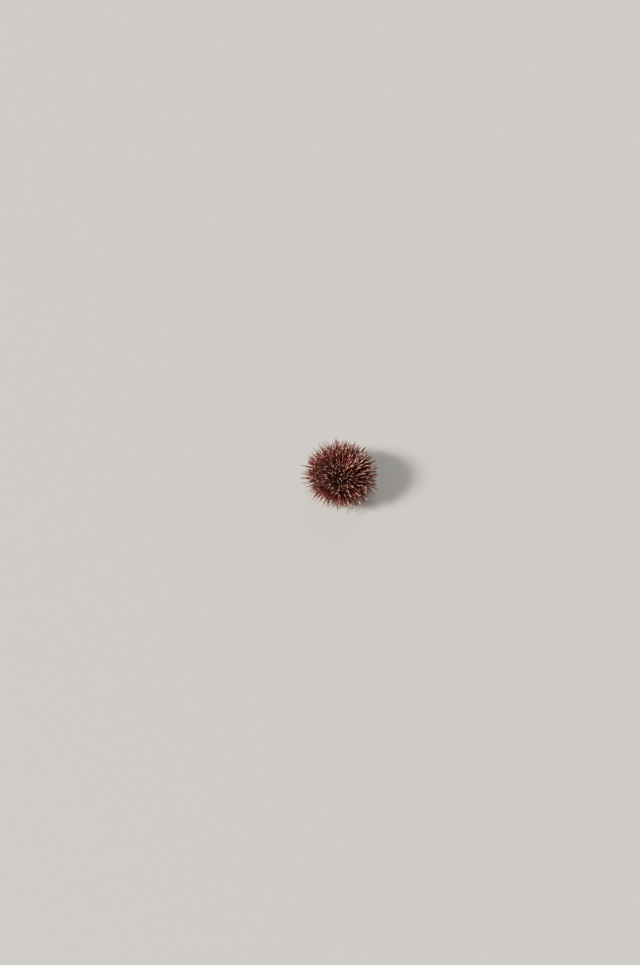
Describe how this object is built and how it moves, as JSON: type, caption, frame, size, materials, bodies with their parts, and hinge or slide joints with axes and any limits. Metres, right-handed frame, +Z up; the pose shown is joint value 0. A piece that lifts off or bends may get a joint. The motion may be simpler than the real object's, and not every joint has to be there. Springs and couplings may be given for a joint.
{
  "type": "purple sea urchin",
  "caption": "Still life-size sea urchin: domed test on its lower spines, tapered spines in rays, apical disc on top, mouth with teeth below.",
  "frame": {"origin": "on the floor, under the middle of the whole outline of the spines", "axes": "+Z up through the apical disc, mouth down; +X along the middle of the first ambulacrum; the picture looks at the front, which is -Y"},
  "size_m": [0.0934, 0.096, 0.0502],
  "materials": {
    "spines": "wet fluted calcite spines, maroon with paler tips",
    "apical_plates": "granular plates under a thin dark skin",
    "mouth_skin": "soft wrinkled skin, damp",
    "teeth": "smooth ivory calcite, worn at the points"
  },
  "bodies": {
    "root": {"ambulacrum_1": "spines", "ambulacrum_2": "spines", "ambulacrum_3": "spines", "ambulacrum_4": "spines", "ambulacrum_5": "spines", "interambulacrum_1": "spines", "interambulacrum_2": "spines", "interambulacrum_3": "spines", "interambulacrum_4": "spines", "interambulacrum_5": "spines", "apical_disc": "apical_plates", "peristome": "mouth_skin", "tooth_1": "teeth", "tooth_2": "teeth", "tooth_3": "teeth", "tooth_4": "teeth", "tooth_5": "teeth"}
  },
  "joints": []
}
